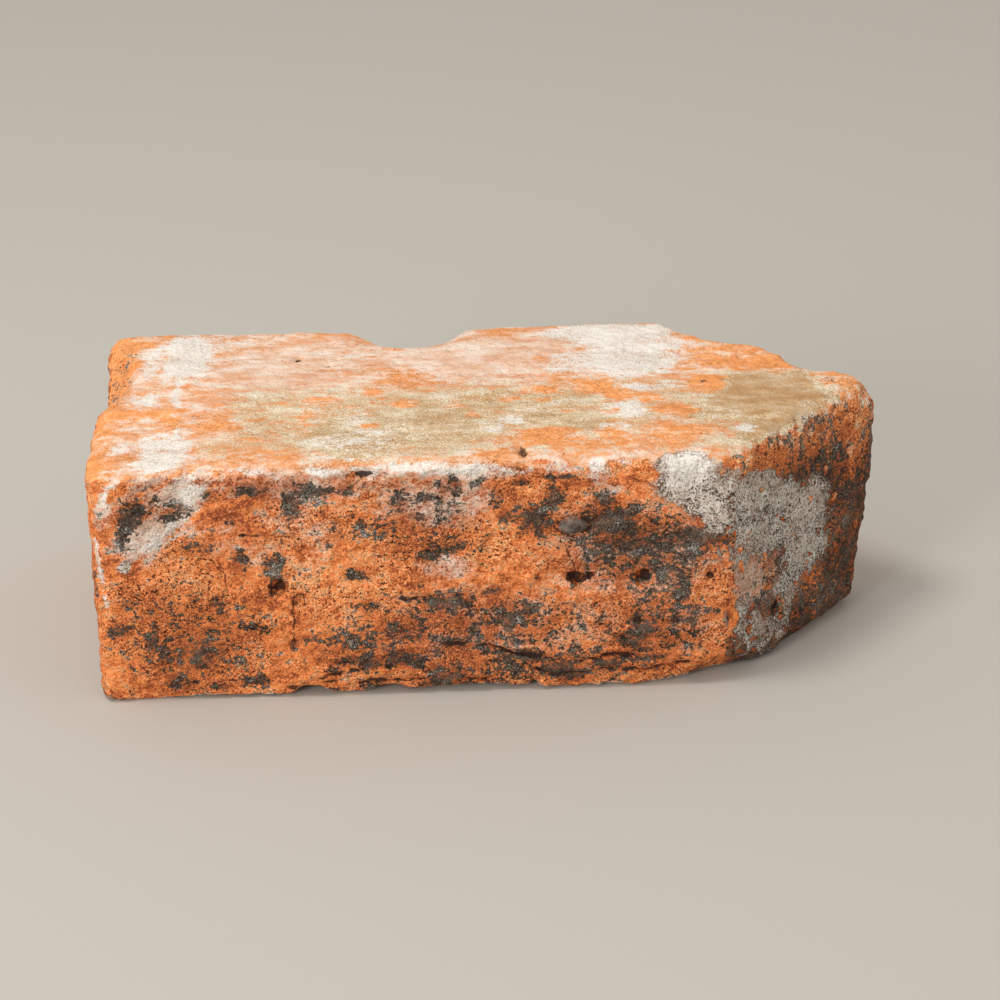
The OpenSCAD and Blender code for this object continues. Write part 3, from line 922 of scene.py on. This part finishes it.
# Painted shade: near black in the cracks, clefts and holes.
painted_hollow_shade_tone = (0.040, 0.016, 0.010, 1)
colour = blend(math_node("MULTIPLY", hollow_shade, 0.92), colour, painted_hollow_shade_tone)

# Grain too fine for the net, as bump: sand, pits and the thickness of each film.
crumb = noise(2.8, 2, 0.5)
sand = math_node("MULTIPLY", noise(0.8, 1, 0.5), coarse)
relief = weigh(
    (crumb, 0.55), (sand, 0.20), (pits, -0.25), (hollow_shade, -0.3),
    (lime_share, 0.10), (soot_share, 0.10), (mortar_share, 0.14),
)
relief = math_node("MULTIPLY", relief, between(field("struck"), 0, 1, 1.0, 0.5))
bump = add_node(tree, "ShaderNodeBump", {"Strength": 1.0, "Distance": 1.0 * MM, "Height": relief})
roughness = between(soot_share, 0, 1, 0.92, 0.78)
finish = add_node(
    tree,
    "ShaderNodeBsdfPrincipled",
    {"Base Color": colour, "Roughness": roughness, "Normal": bump.outputs[0], "Specular IOR Level": 0.25},
)
add_node(tree, "ShaderNodeOutputMaterial", {"Surface": finish.outputs[0]})

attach(skin, "root")
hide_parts("brick")

# The stage: a plain pale floor under the brick, soft light from above and from in front, and a camera with a
# long lens that looks down on the stretcher face and the struck bed.
floor_mesh = bpy.data.meshes.new("floor")
side = 6.0
floor_corners = [(-side, -side, 0), (side, -side, 0), (side, side, 0), (-side, side, 0)]
floor_mesh.from_pydata(floor_corners, [], [(0, 1, 2, 3)])
floor = bpy.data.objects.new("floor", floor_mesh)
bpy.context.scene.collection.objects.link(floor)
pale = bpy.data.materials.new("pale_floor")
pale.use_nodes = True
paint = pale.node_tree.nodes["Principled BSDF"]
paint.inputs["Base Color"].default_value = (0.50, 0.465, 0.41, 1)
paint.inputs["Roughness"].default_value = 0.9
floor_mesh.materials.append(pale)

world = bpy.data.worlds.new("studio")
bpy.context.scene.world = world
world.use_nodes = True
sky = world.node_tree.nodes["Background"]
sky.inputs["Color"].default_value = (1.0, 0.98, 0.95, 1)
sky.inputs["Strength"].default_value = 0.66


def soft_box(name, at, aim, size, power):
    """A round lamp of a size in metres and a power in watts, turned to its aim."""
    lamp = bpy.data.lights.new(name, "AREA")
    lamp.shape = "DISK"
    lamp.size = size
    lamp.energy = power
    holder = bpy.data.objects.new(name, lamp)
    holder.location = at
    holder.rotation_euler = (aim - holder.location).to_track_quat("-Z", "Y").to_euler()
    bpy.context.scene.collection.objects.link(holder)


middle = (cad_low + cad_high) / 2
soft_box("overhead", (-0.40, -0.15, 1.30), middle, 0.4, 7.0)
soft_box("front_fill", (-1.0, -1.35, 0.60), middle, 0.6, 13.2)

# The camera's place in metres, its three turns in degrees and its lens were fitted to the brick's corners.
stand = (-0.0278, -0.8884, 0.4339)
look_aside, look_down, lean = -2.03, 24.09, -0.87
frame_pixels, focal_pixels = 1000, 3232.8
lens = bpy.data.cameras.new("camera")
lens.sensor_width = 36
lens.lens = lens.sensor_width * focal_pixels / frame_pixels
lens.clip_start, lens.clip_end = 0.05, 50
camera = bpy.data.objects.new("camera", lens)
camera.matrix_world = (
    Matrix.Translation(stand)
    @ Matrix.Rotation(math.radians(look_aside), 4, "Z")
    @ Matrix.Rotation(math.radians(90 - look_down), 4, "X")
    @ Matrix.Rotation(math.radians(lean), 4, "Z")
)
bpy.context.scene.collection.objects.link(camera)
bpy.context.scene.camera = camera
bpy.context.scene.view_settings.view_transform = "Standard"
